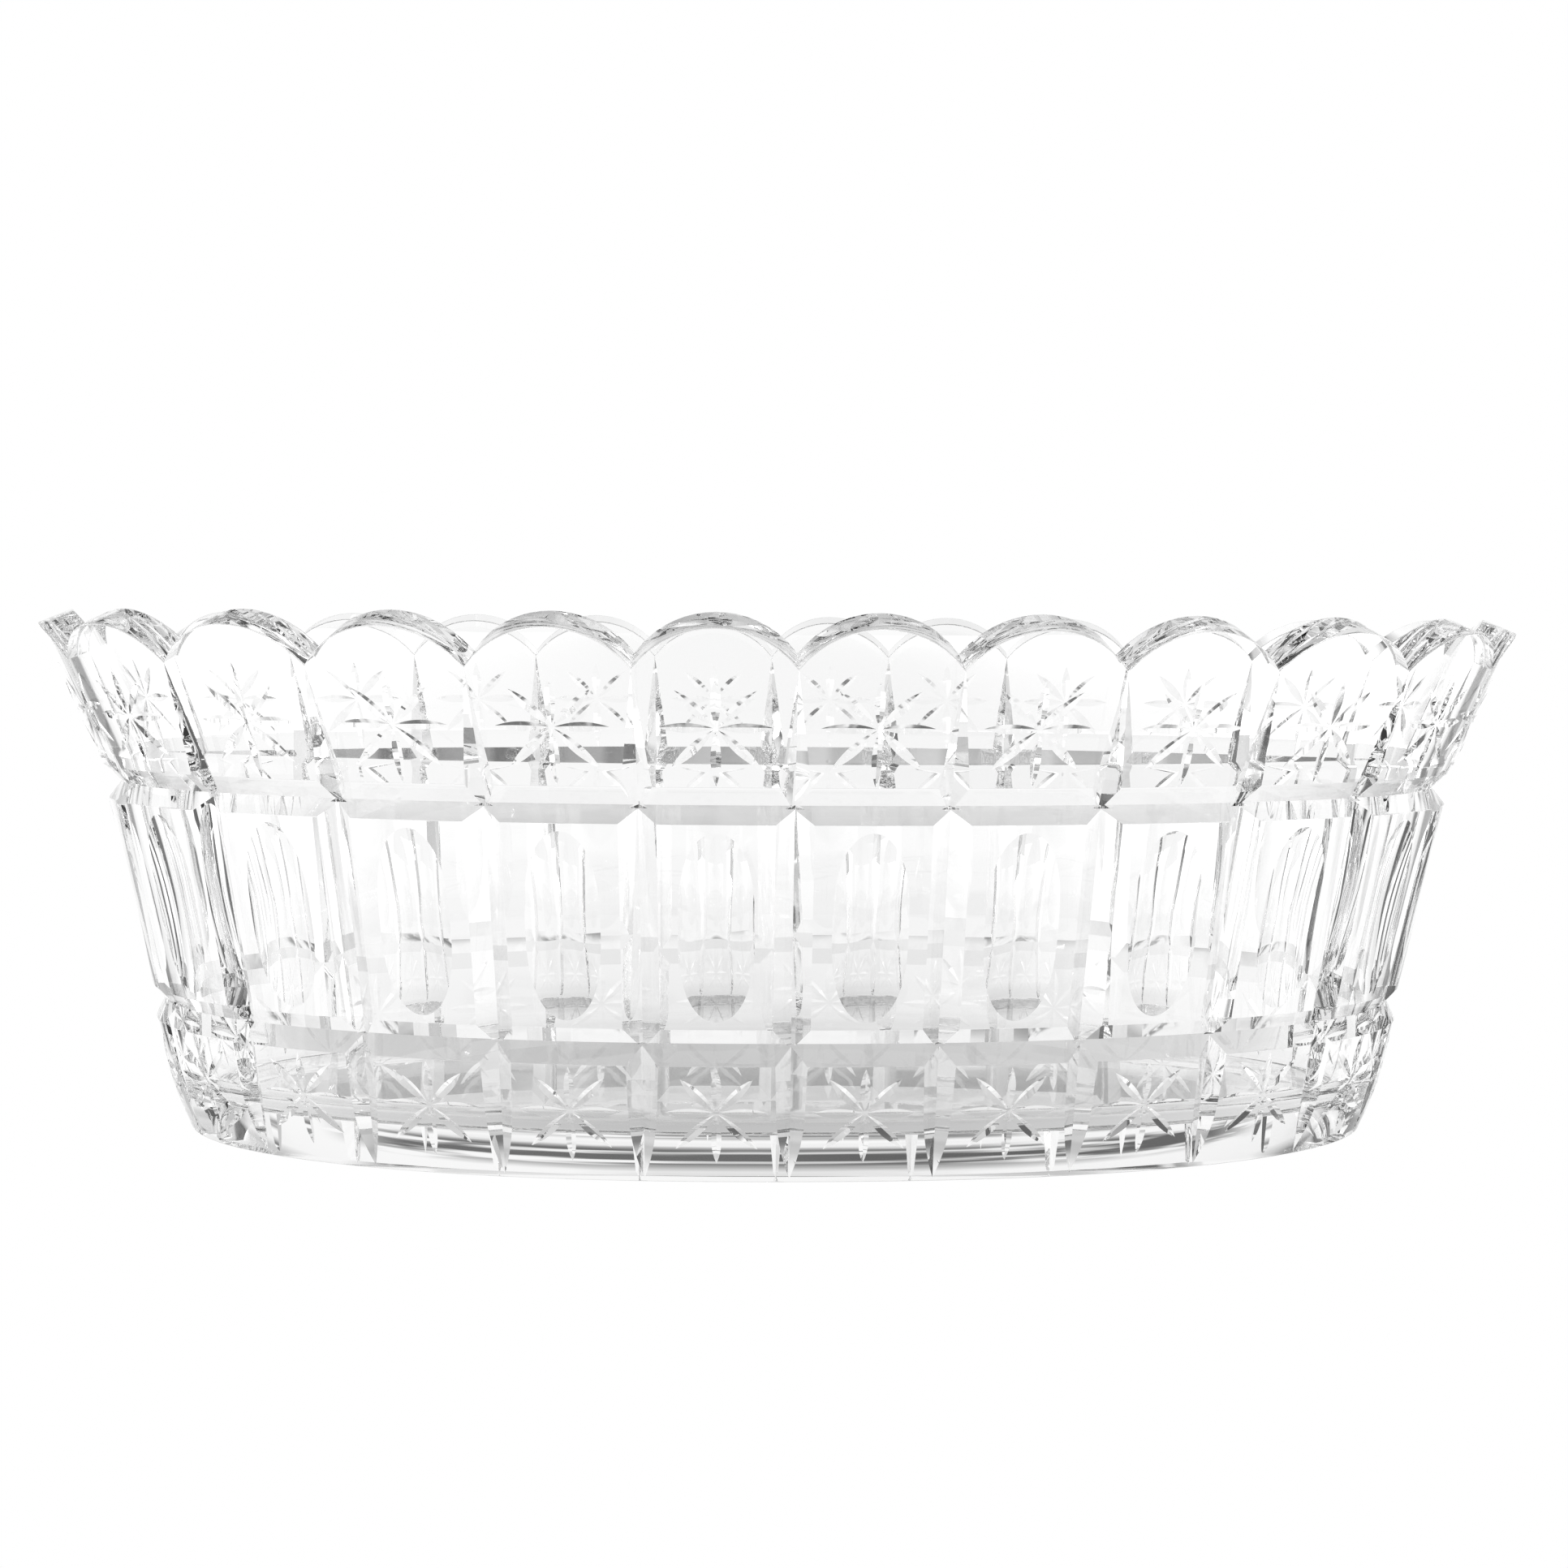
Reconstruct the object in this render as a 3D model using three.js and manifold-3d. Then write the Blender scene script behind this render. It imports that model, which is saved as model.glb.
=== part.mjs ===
// Oval cut-crystal jardiniere, millimetres, +Z up, origin on the table under the middle of the bowl.
// One piece of glass: a flared oval blank with a scalloped rim, turned grooves round its waist and
// foot, and mitres, thumbprints and eight-ray stars cut into its panels on a wheel.

import * as THREE from 'three';
import { mergeVertices } from 'three/addons/utils/BufferGeometryUtils.js';
import Module from 'manifold-3d';

const wasm = await Module();
wasm.setup();

// Plan of the bowl
const rimLength = 330;           // along X, at the height of the scallops' tops
const rimWidth = 184;            // along Y, at the same height
const planPower = 2.2;           // superellipse power: 2 is an ellipse, more is squarer
const panelCount = 24;           // panels round the bowl, with a mitre at the middle of each side

// Heights of the bands and grooves, from the foot upwards
const footBevelHeight = 1.3;
const lowerBandHeight = 24;
const lowerGrooveHeight = 7.5;
const lowerGrooveRise = 4.3;     // deepest line of the lower groove above its lower edge
const middleBandHeight = 41.8;
const upperGrooveHeight = 7.3;
const upperGrooveRise = 3.6;     // deepest line of the upper groove above its lower edge
const upperBandHeight = 30.7;    // up to the outer edge of a scallop's top

// How far the wall stands out or leans
const upperBandLean = 23.1;      // degrees from upright
const middleBandLean = 12;
const upperGrooveDepth = 3.75;
const middleBandStep = 1;        // middle band behind the upper band, at the groove between them
const lowerGrooveDepth = 2.6;
const lowerBandStep = 0.7;       // lower band behind the middle band, at the groove between them
const lowerBandDrawIn = 6.8;     // from the top of the lower band to the top of the foot bevel
const lowerBandBend = 8;         // up the band, where it turns inwards to the foot
const lowerBandBulge = 1.1;      // how far it stands out there from a straight band
const footBevelDrawIn = 0.5;

// Glass
const wallThickness = 8;
const floorThickness = 10;
const floorCornerRadius = 7;
const innerBendLength = 20;      // height over which the inside turns from one lean to the other
const scallopDrop = 8.4;         // from a scallop's top down to the cusps beside it, along the wall

// Wheel cuts
const mitreHalfAngle = 54;       // degrees, from the middle of the V to its side
const upperMitreDepth = 2.5;     // at the groove; it runs out to nothing at the cusp
const middleMitreDepth = 2.8;
const lowerMitreDepth = 2.4;     // at the groove; it runs out on the foot bevel
const lowerMitreEnd = 0.5;       // share of the bevel's height that it runs down
const thumbprintWidth = 15.5;
const thumbprintLength = 39.5;
const thumbprintDepth = 1.8;
const thumbprintPower = 2.8;     // 2 gives pointed ends, more gives blunter ones
const starRayWidth = 2.2;        // at the middle of a ray
const starHalfAngle = 55;
const starHub = 0.6;             // bare glass from a star's middle to where its rays start
const upperStarHeight = 12.7;    // of its middle, up the band from the ledge of the upper groove
const upperStarDown = 12.4;
const upperStarUp = 10.1;
const upperStarAcross = 11;      // the level and slanting rays
const lowerStarHeight = 8.4;     // of its middle, up the band from its bend
const lowerStarDown = 8.1;
const lowerStarUp = 8.1;
const lowerStarAcross = 9.7;

// Facets
const columnShares = [0, 0.2, 0.5, 0.8];   // where the columns of facets start across a panel
const cornerRows = 2;
const bendRows = 1;
const thumbprintSides = 12;
const overshoot = 2;             // how far a cutter stands clear of the glass
const rayOvershoot = 1.5;        // how much larger a ray's cutter is than what it cuts

const radians = THREE.MathUtils.degToRad;
const v3 = (x, y, z) => new THREE.Vector3(x, y, z);
const at = (out, up) => new THREE.Vector2(out, up);

// Section of the wall: how far out from the plan line, and how high above the table. The plan line
// is the deepest line of the upper groove.
const lowerBandBottomZ = footBevelHeight;
const lowerBandTopZ = lowerBandBottomZ + lowerBandHeight;
const middleBandBottomZ = lowerBandTopZ + lowerGrooveHeight;
const middleBandTopZ = middleBandBottomZ + middleBandHeight;
const upperBandBottomZ = middleBandTopZ + upperGrooveHeight;
const upperBandTopZ = upperBandBottomZ + upperBandHeight;

const upperTan = Math.tan(radians(upperBandLean));
const middleTan = Math.tan(radians(middleBandLean));
const upperBandBottom = at(upperGrooveDepth, upperBandBottomZ);
const rimOuterTop = at(upperBandBottom.x + upperBandHeight * upperTan, upperBandTopZ);
const upperGrooveBottom = at(0, middleBandTopZ + upperGrooveRise);
const middleBandTop = at(upperGrooveDepth - middleBandStep, middleBandTopZ);
const middleBandBottom = at(middleBandTop.x - middleBandHeight * middleTan, middleBandBottomZ);
const lowerGrooveBottom = at(middleBandBottom.x - lowerGrooveDepth, lowerBandTopZ + lowerGrooveRise);
const lowerBandTop = at(middleBandBottom.x - lowerBandStep, lowerBandTopZ);
const lowerBandBottom = at(lowerBandTop.x - lowerBandDrawIn, lowerBandBottomZ);
const footEdge = at(lowerBandBottom.x - footBevelDrawIn, 0);
const lowerBandChord = lowerBandTop.clone().sub(lowerBandBottom);
const lowerBandKnee = lowerBandBottom.clone()
  .addScaledVector(lowerBandChord, lowerBandBend / lowerBandChord.length())
  .addScaledVector(at(lowerBandChord.y, -lowerBandChord.x).normalize(), lowerBandBulge);

// The plan line, a superellipse that starts at the middle of the front and runs towards +X
class PlanLine extends THREE.Curve {
  constructor() {
    super();
    this.halfLength = rimLength / 2 - rimOuterTop.x;
    this.halfWidth = rimWidth / 2 - rimOuterTop.x;
    this.arcLengthDivisions = 4800;
  }

  getPoint(t) {
    const reach = (value) => Math.sign(value) * Math.abs(value) ** (2 / planPower);
    const angle = 2 * Math.PI * t;
    return v3(this.halfLength * reach(Math.sin(angle)), -this.halfWidth * reach(Math.cos(angle)), 0);
  }

  // Square to the wall, outwards
  getNormalAt(u) {
    const point = this.getPointAt(u);
    const pull = (value, half) => Math.sign(value) * Math.abs(value / half) ** (planPower - 1) / half;
    return v3(pull(point.x, this.halfLength), pull(point.y, this.halfWidth), 0).normalize();
  }
}

const plan = new PlanLine();
const planLength = plan.getLength();
const rimPanelWidth = (planLength + 2 * Math.PI * rimOuterTop.x) / panelCount;
const scallopRadius = ((rimPanelWidth / 2) ** 2 + scallopDrop ** 2) / (2 * scallopDrop);

// A place on the wall's section, carried round to one place on the plan line
function onWall(panel, section) {
  const u = THREE.MathUtils.euclideanModulo(panel / panelCount, 1);
  return plan.getPointAt(u).addScaledVector(plan.getNormalAt(u), section.x).setZ(section.y);
}

// How far the rim drops below a scallop's top, along the wall
function scallopDropAt(panel) {
  const side = (panel - Math.floor(panel) - 0.5) * rimPanelWidth;
  return scallopRadius - Math.sqrt(scallopRadius ** 2 - side ** 2);
}

// Both bands that carry stars are straight in section where the stars are
const upTheBand = (low, high) => (height) => {
  const along = high.clone().sub(low).normalize();
  return low.clone().addScaledVector(along, height);
};

// The inside of the wall lies one wall thickness behind the middle and upper bands
function insideSection() {
  const upperTilt = radians(upperBandLean);
  const middleTilt = radians(middleBandLean);
  const rimInnerTop = at(
    rimOuterTop.x - wallThickness * Math.cos(upperTilt),
    rimOuterTop.y + wallThickness * Math.sin(upperTilt));
  const behindMiddle = at(middleBandTop.x - wallThickness / Math.cos(middleTilt), middleBandTop.y);
  const bendZ = (rimInnerTop.x - behindMiddle.x - rimInnerTop.y * upperTan + behindMiddle.y * middleTan)
    / (middleTan - upperTan);
  const onUpper = (z) => at(rimInnerTop.x - (rimInnerTop.y - z) * upperTan, z);
  const onMiddle = (z) => at(behindMiddle.x + (z - behindMiddle.y) * middleTan, z);
  const bend = new THREE.QuadraticBezierCurve(
    onUpper(bendZ + innerBendLength / 2), onUpper(bendZ), onMiddle(bendZ - innerBendLength / 2));

  // The corner is an arc that leaves the floor level and meets the wall along its own lean
  const turn = Math.PI / 2 - middleTilt;
  const cornerTopZ = floorThickness + floorCornerRadius * (1 - Math.cos(turn));
  const cornerTop = onMiddle(cornerTopZ);
  const centre = at(cornerTop.x - floorCornerRadius * Math.sin(turn), floorThickness + floorCornerRadius);
  const corner = Array.from({ length: cornerRows + 1 }, (_, i) => {
    const angle = turn * (1 - i / cornerRows);
    return at(centre.x + floorCornerRadius * Math.sin(angle), centre.y - floorCornerRadius * Math.cos(angle));
  });
  return { rimInnerTop, sections: [...bend.getPoints(bendRows), ...corner] };
}

function geometryOf(points, triangles) {
  const geometry = new THREE.BufferGeometry();
  geometry.setAttribute('position', new THREE.Float32BufferAttribute(points.flatMap((p) => [p.x, p.y, p.z]), 3));
  geometry.setIndex(triangles.flat());
  return geometry;
}

// Rings of equal count, from the middle of the foot, up the outside, over the rim and down to the floor
function blankGeometry() {
  const { rimInnerTop, sections } = insideSection();
  const places = Array.from({ length: panelCount }, (_, panel) => columnShares.map((share) => panel + share));
  const columns = panelCount * columnShares.length;
  const ring = (sectionAt) => places.flat().map((panel) => onWall(panel, sectionAt(panel)));
  const level = (section) => ring(() => section);
  const scalloped = (top) => ring((panel) => {
    const drop = scallopDropAt(panel);
    const tilt = radians(upperBandLean);
    return at(top.x - drop * Math.sin(tilt), top.y - drop * Math.cos(tilt));
  });
  const rings = [
    level(footEdge),
    level(lowerBandBottom),
    level(lowerBandKnee),
    level(lowerBandTop),
    level(lowerGrooveBottom),
    level(middleBandBottom),
    level(middleBandTop),
    level(upperGrooveBottom),
    level(upperBandBottom),
    scalloped(rimOuterTop),
    scalloped(rimInnerTop),
    ...sections.map(level),
  ];
  const points = [v3(0, 0, 0), ...rings.flat(), v3(0, 0, floorThickness)];
  const triangles = [];
  for (let i = 0; i < columns; i += 1) {
    const next = (i + 1) % columns;
    triangles.push([0, 1 + next, 1 + i]);
    for (let row = 0; row < rings.length - 1; row += 1) {
      const low = 1 + row * columns;
      const high = low + columns;
      triangles.push([low + i, low + next, high + next], [low + i, high + next, high + i]);
    }
    const last = 1 + (rings.length - 1) * columns;
    triangles.push([last + i, last + next, points.length - 1]);
  }
  return geometryOf(points, triangles);
}

// A V-shaped bar whose edge runs from one place on the wall to another. It is as deep in the glass at
// each end as its edge lies below the wall there, and stands clear of the wall outside.
function mitreGeometry(panel, upper, lower) {
  const outward = plan.getNormalAt(THREE.MathUtils.euclideanModulo(panel / panelCount, 1));
  const sideways = v3(-outward.y, outward.x, 0);
  const spread = Math.tan(radians(mitreHalfAngle));
  const height = middleMitreDepth + overshoot;
  const points = [upper, lower].flatMap((section) => {
    const edge = onWall(panel, section);
    const back = edge.clone().addScaledVector(outward, height);
    return [
      edge,
      back.clone().addScaledVector(sideways, height * spread),
      back.clone().addScaledVector(sideways, -height * spread),
    ];
  });
  return geometryOf(points, [
    [0, 2, 1], [3, 4, 5], [0, 4, 3], [0, 1, 4], [0, 5, 2], [0, 3, 5], [1, 5, 4], [1, 2, 5],
  ]);
}

// The edge of each mitre, given as a straight line in the wall's section
function mitreLines() {
  const tilt = radians(upperBandLean);
  const cusp = at(rimOuterTop.x - scallopDrop * Math.sin(tilt), rimOuterTop.y - scallopDrop * Math.cos(tilt));
  const lineThrough = (a, b) => (z) => at(a.x + (b.x - a.x) * (z - a.y) / (b.y - a.y), z);
  const upper = lineThrough(cusp, at(upperBandBottom.x - upperMitreDepth, upperBandBottom.y));
  const middle = lineThrough(
    at(middleBandTop.x - middleMitreDepth, middleBandTop.y),
    at(middleBandBottom.x - middleMitreDepth, middleBandBottom.y));
  const lower = lineThrough(
    at(lowerBandTop.x - lowerMitreDepth, lowerBandTop.y),
    lowerBandBottom.clone().lerp(footEdge, lowerMitreEnd));
  return [
    [upper(cusp.y + overshoot), upper(upperGrooveBottom.y)],
    [middle(upperGrooveBottom.y), middle(lowerGrooveBottom.y)],
    [lower(lowerGrooveBottom.y), lower(-overshoot)],
  ];
}

// A frame on the middle of a panel: right along the wall, up its slope and out of it
function panelFrame(panel, low, high) {
  const bottom = onWall(panel, low);
  const up = onWall(panel, high).sub(bottom).normalize();
  const flat = plan.getNormalAt(panel / panelCount);
  const right = v3(-flat.y, flat.x, 0);
  return { middle: onWall(panel, low.clone().lerp(high, 0.5)), right, up, out: right.clone().cross(up) };
}

// A dish with blunt ends, as a broad rounded wheel leaves it
function thumbprintGeometry(panel) {
  const { middle, right, up, out } = panelFrame(panel, middleBandBottom, middleBandTop);
  const place = (x, y, z) => middle.clone()
    .addScaledVector(right, x).addScaledVector(up, y).addScaledVector(out, z);
  const rings = [0.6, 1, 1.2].map((share) => Array.from({ length: thumbprintSides }, (_, i) => {
    const angle = 2 * Math.PI * i / thumbprintSides;
    const reach = (value, power) => Math.sign(value) * Math.abs(value) ** (2 / power);
    return place(
      share * thumbprintWidth / 2 * Math.cos(angle),
      share * thumbprintLength / 2 * reach(Math.sin(angle), thumbprintPower),
      thumbprintDepth * (share ** 2 - 1));
  }));
  const points = [place(0, 0, -thumbprintDepth), ...rings.flat(), place(0, 0, overshoot)];
  const triangles = [];
  for (let i = 0; i < thumbprintSides; i += 1) {
    const next = (i + 1) % thumbprintSides;
    triangles.push([0, 1 + next, 1 + i]);
    for (let row = 0; row < rings.length - 1; row += 1) {
      const low = 1 + row * thumbprintSides;
      const high = low + thumbprintSides;
      triangles.push([low + i, low + next, high + next], [low + i, high + next, high + i]);
    }
    const last = 1 + (rings.length - 1) * thumbprintSides;
    triangles.push([last + i, last + next, points.length - 1]);
  }
  return geometryOf(points, triangles);
}

// One ray of a star, a V cut pointed at both ends. Its rim lies on the wall, and its sides run on above it.
function rayGeometry(place, angle, reach) {
  const [along, up] = [Math.cos(angle), Math.sin(angle)];
  const onRay = (distance, side) => place(distance * along - side * up, distance * up + side * along);
  const middle = (starHub + reach) / 2;
  const [inner, outer] = [onRay(starHub, 0), onRay(reach, 0)];
  const [left, right] = [onRay(middle, starRayWidth / 2), onRay(middle, -starRayWidth / 2)];
  const outward = outer.clone().sub(inner).cross(left.clone().sub(right)).normalize();
  const depth = starRayWidth / 2 / Math.tan(radians(starHalfAngle));
  const deepest = onRay(middle, 0).addScaledVector(outward, -depth);
  const rim = [inner, right, outer, left].map((point) => deepest.clone().lerp(point, rayOvershoot));
  return geometryOf([deepest, ...rim], [[0, 2, 1], [0, 3, 2], [0, 4, 3], [0, 1, 4], [1, 2, 4], [2, 3, 4]]);
}

// A star of eight rays on the middle of a panel
function starSolid(panel, band, height, reaches) {
  const place = (along, up) => {
    const section = band(height + up);
    const width = onWall(panel - 0.1, section).distanceTo(onWall(panel + 0.1, section)) / 0.2;
    return onWall(panel + along / width, section);
  };
  return reaches
    .map((reach, i) => solidOf(rayGeometry(place, i * Math.PI / 4, reach)))
    .reduce((star, ray) => star.add(ray));
}

function solidOf(geometry) {
  const merged = mergeVertices(geometry, 1e-4);
  return new wasm.Manifold(new wasm.Mesh({
    numProp: 3,
    vertProperties: new Float32Array(merged.attributes.position.array),
    triVerts: new Uint32Array(merged.index.array),
  }));
}

function geometryFrom(solid) {
  const mesh = solid.getMesh();
  const geometry = new THREE.BufferGeometry();
  geometry.setAttribute('position', new THREE.BufferAttribute(new Float32Array(mesh.vertProperties), 3));
  geometry.setIndex(new THREE.BufferAttribute(new Uint32Array(mesh.triVerts), 1));
  geometry.computeVertexNormals();
  return geometry;
}

function cutGlass() {
  let glass = solidOf(blankGeometry());
  const lines = mitreLines();
  const reaches = (across, up, down) => [across, across, up, across, across, across, down, across];
  const upperReaches = reaches(upperStarAcross, upperStarUp, upperStarDown);
  const lowerReaches = reaches(lowerStarAcross, lowerStarUp, lowerStarDown);
  const onUpperBand = upTheBand(upperBandBottom, rimOuterTop);
  const onLowerBand = upTheBand(lowerBandKnee, lowerBandTop);
  for (let panel = 0; panel < panelCount; panel += 1) {
    for (const [upper, lower] of lines) {
      glass = glass.subtract(solidOf(mitreGeometry(panel, upper, lower)));
    }
    glass = glass
      .subtract(solidOf(thumbprintGeometry(panel + 0.5)))
      .subtract(starSolid(panel + 0.5, onUpperBand, upperStarHeight, upperReaches))
      .subtract(starSolid(panel + 0.5, onLowerBand, lowerStarHeight, lowerReaches));
  }
  return geometryFrom(glass);
}

const bowl = new THREE.Mesh(
  cutGlass(),
  new THREE.MeshStandardMaterial({ color: 0xf1f4f3, roughness: 0.04, metalness: 0 }));
bowl.name = 'glass_bowl';

const jardiniere = new THREE.Group();
jardiniere.add(bowl);

export default jardiniere;
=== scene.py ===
import math
from functools import partial

import bpy
import numpy as np
from mathutils import Matrix


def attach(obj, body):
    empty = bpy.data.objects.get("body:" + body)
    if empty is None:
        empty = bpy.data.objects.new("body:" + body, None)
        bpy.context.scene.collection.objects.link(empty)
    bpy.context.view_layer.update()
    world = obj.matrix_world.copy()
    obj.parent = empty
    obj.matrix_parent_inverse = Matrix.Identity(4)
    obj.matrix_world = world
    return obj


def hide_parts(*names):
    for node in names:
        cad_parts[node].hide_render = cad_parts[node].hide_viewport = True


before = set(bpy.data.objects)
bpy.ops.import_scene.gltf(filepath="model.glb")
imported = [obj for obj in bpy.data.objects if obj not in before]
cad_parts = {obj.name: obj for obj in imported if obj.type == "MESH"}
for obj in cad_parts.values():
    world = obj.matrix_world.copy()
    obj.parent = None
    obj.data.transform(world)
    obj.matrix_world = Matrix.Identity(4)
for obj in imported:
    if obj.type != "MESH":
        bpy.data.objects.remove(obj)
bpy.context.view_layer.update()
mm = 0.001
tiny = 1e-12                                      # keeps a length from being nought


def srgb(code):                                   # "#rrggbb" to the linear values that sockets take
    parts = [int(code[i:i + 2], 16) / 255 for i in (1, 3, 5)]
    return tuple(p / 12.92 if p <= 0.04045 else ((p + 0.055) / 1.055) ** 2.4 for p in parts) + (1.0,)


def addNode(tree, kind, inputs=None, **settings):  # inputs: socket name or number to a value or another node's socket
    node = tree.nodes.new(kind)
    for name, value in settings.items():
        setattr(node, name, value)
    for name, value in (inputs or {}).items():
        socket = node.inputs[name]
        for one in value if isinstance(value, list) else [value]:
            if isinstance(one, bpy.types.NodeSocket):
                tree.links.new(one, socket)
            else:
                socket.default_value = one
    return node


def calculate(tree, operation, *values):
    return addNode(tree, "ShaderNodeMath", dict(enumerate(values)), operation=operation).outputs[0]


def unit(ways):
    return ways / np.linalg.norm(ways, axis=-1, keepdims=True)


def storeVectors(mesh, name, domain, values):
    mesh.attributes.new(name, "FLOAT_VECTOR", domain).data.foreach_set("vector", np.array(values, np.float32).ravel())


# the camera, from a fit to the cuts and grooves in the photograph

view = {
    "lens": 48.60, "sensor": 36,                  # mm
    "clip": (0.01, 20),                           # m
    "distance": 484.98,                           # from the bowl's middle, mm
    "sideways": 0.53, "height": 112.82,           # mm
    "pitchDown": 4.241, "roll": 0.438,            # degrees
    "turn": -2.053,                               # round the bowl, degrees
}


def makeCamera(v):
    data = bpy.data.cameras.new("camera")
    data.lens, data.sensor_width = v["lens"], v["sensor"]
    data.clip_start, data.clip_end = v["clip"]
    camera = bpy.data.objects.new("camera", data)
    bpy.context.scene.collection.objects.link(camera)
    around = Matrix.Rotation(math.radians(v["turn"]), 4, "Z")
    place = Matrix.Translation((v["sideways"] * mm, -v["distance"] * mm, v["height"] * mm))
    aim = Matrix.Rotation(math.radians(90 - v["pitchDown"]), 4, "X")
    camera.matrix_world = around @ place @ aim @ Matrix.Rotation(math.radians(v["roll"]), 4, "Z")
    bpy.context.scene.camera = camera


makeCamera(view)
print("camera placed")


# the blank: one thick oval of glass, its wall a section carried round the plan line

blank = {
    "rimLength": 329.7, "rimWidth": 183.8,        # mm
    "planPower": 2.2, "planSteps": 240000,        # a superellipse, and how finely its length is measured
    "panels": 24, "columnsPerPanel": 16,
    "upperLean": 23.1, "middleLean": 12,          # degrees from upright
    "wall": 8, "floor": 10, "floorCorner": 7,
    "scallopDrop": 8.4, "scallopsFrom": 2,        # mm; the section follows the scallops from this far below the rim
    # places up the outside: how far out from the plan line, the height, and the radius the edge is softened to
    "outside": {
        "foot": (-14.14, 0, 0.3), "bevel": (-13.64, 1.3, 0.3), "belly": (-10.40, 8.70, 68),
        "lowerTop": (-6.84, 25.3, 0.22), "lowerGroove": (-8.74, 29.6, 0), "middleFoot": (-6.14, 32.8, 0.22),
        "middleTop": (2.75, 74.6, 0.22), "upperGroove": (0, 78.2, 0), "upperFoot": (3.75, 81.9, 0.22),
        "rim": (16.84, 112.6, 0.3),
    },
    "rimInnerSoftening": 0.5, "bendRadius": 12,
    "edgeParts": 3, "curveParts": 8, "curveFrom": 3,   # faces round a softened edge, and round a radius from 3 mm up
    "footStart": 5, "floorEnd": 14,               # mm; how far in from the foot's edge and from the floor's corner
    "slopeStep": 0.001,                           # in panels, to find the way along the wall
}


class PlanLine:                                   # starts at the middle of the front and runs towards +X
    def __init__(self, b):
        rimOut = b["outside"]["rim"][0]
        self.half = np.array([b["rimLength"] / 2 - rimOut, b["rimWidth"] / 2 - rimOut])
        self.power = b["planPower"]
        self.angles = np.linspace(0, 2 * np.pi, b["planSteps"] + 1)
        steps = np.linalg.norm(np.diff(self.at(self.angles), axis=0), axis=1)
        self.runs = np.concatenate([[0], np.cumsum(steps)])
        self.length = self.runs[-1]

    def at(self, angle):
        reach = lambda v: np.sign(v) * np.abs(v) ** (2 / self.power)
        return np.stack([self.half[0] * reach(np.sin(angle)), -self.half[1] * reach(np.cos(angle))], -1)

    def point(self, share):                       # share of the way round
        return self.at(np.interp(np.mod(share, 1) * self.length, self.runs, self.angles))

    def outward(self, share):
        xy = self.point(share) / self.half
        return unit(np.sign(xy) * np.abs(xy) ** (self.power - 1) / self.half)


plan = PlanLine(blank)


def onWall(panel, out, up):                       # mm; panel 0 is at the middle of the front
    share = np.asarray(panel, float) / blank["panels"]
    xy = plan.point(share) + plan.outward(share) * np.asarray(out, float)[..., None]
    return np.concatenate([xy, np.broadcast_to(np.asarray(up, float)[..., None], xy.shape[:-1] + (1,))], -1)


def softened(corners, b):                         # corners (out, up, radius) to places with a way in and a way out
    here = [np.array(corner[:2], float) for corner in corners]
    ways = [unit(after - before) for before, after in zip(here, here[1:])]
    places = []
    for i, (_, _, radius) in enumerate(corners):
        wayIn, wayOut = ways[max(i - 1, 0)], ways[min(i, len(ways) - 1)]
        turn = math.acos(max(-1, min(1, wayIn @ wayOut)))
        if not radius or turn < 1e-4:             # nothing to soften
            places.append((here[i], wayIn, wayOut))
            continue
        parts = b["edgeParts"] if radius < b["curveFrom"] else b["curveParts"]
        side = np.sign(wayIn[0] * wayOut[1] - wayIn[1] * wayOut[0])
        start = here[i] - wayIn * radius * math.tan(turn / 2)
        centre = start + side * radius * np.array([-wayIn[1], wayIn[0]])
        for k in range(parts + 1):
            a = side * turn * k / parts
            spin = np.array([[math.cos(a), -math.sin(a)], [math.sin(a), math.cos(a)]])
            places.append((centre + spin @ (start - centre), spin @ wayIn, spin @ wayIn))
    return places


def wallSection(b):                               # from the foot, up the outside, over the rim and down to the floor
    lean, middleLean = math.radians(b["upperLean"]), math.radians(b["middleLean"])
    out, up, _ = b["outside"]["rim"]
    inner = np.array([out - b["wall"] * math.cos(lean), up + b["wall"] * math.sin(lean)])
    middleOut, middleUp, _ = b["outside"]["middleTop"]
    behind = np.array([middleOut - b["wall"] / math.cos(middleLean), middleUp])
    bendUp = (inner[0] - behind[0] - inner[1] * math.tan(lean) + behind[1] * math.tan(middleLean)) / (
        math.tan(middleLean) - math.tan(lean))
    bendOut = inner[0] - (inner[1] - bendUp) * math.tan(lean)
    cornerOut = behind[0] + (b["floor"] - behind[1]) * math.tan(middleLean)
    start = (b["outside"]["foot"][0] - b["footStart"], 0, 0)
    inside = [(*inner, b["rimInnerSoftening"]), (bendOut, bendUp, b["bendRadius"]),
              (cornerOut, b["floor"], b["floorCorner"]), (cornerOut - b["floorEnd"], b["floor"], 0)]
    return softened([start, *b["outside"].values(), *inside], b)[1:]


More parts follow.
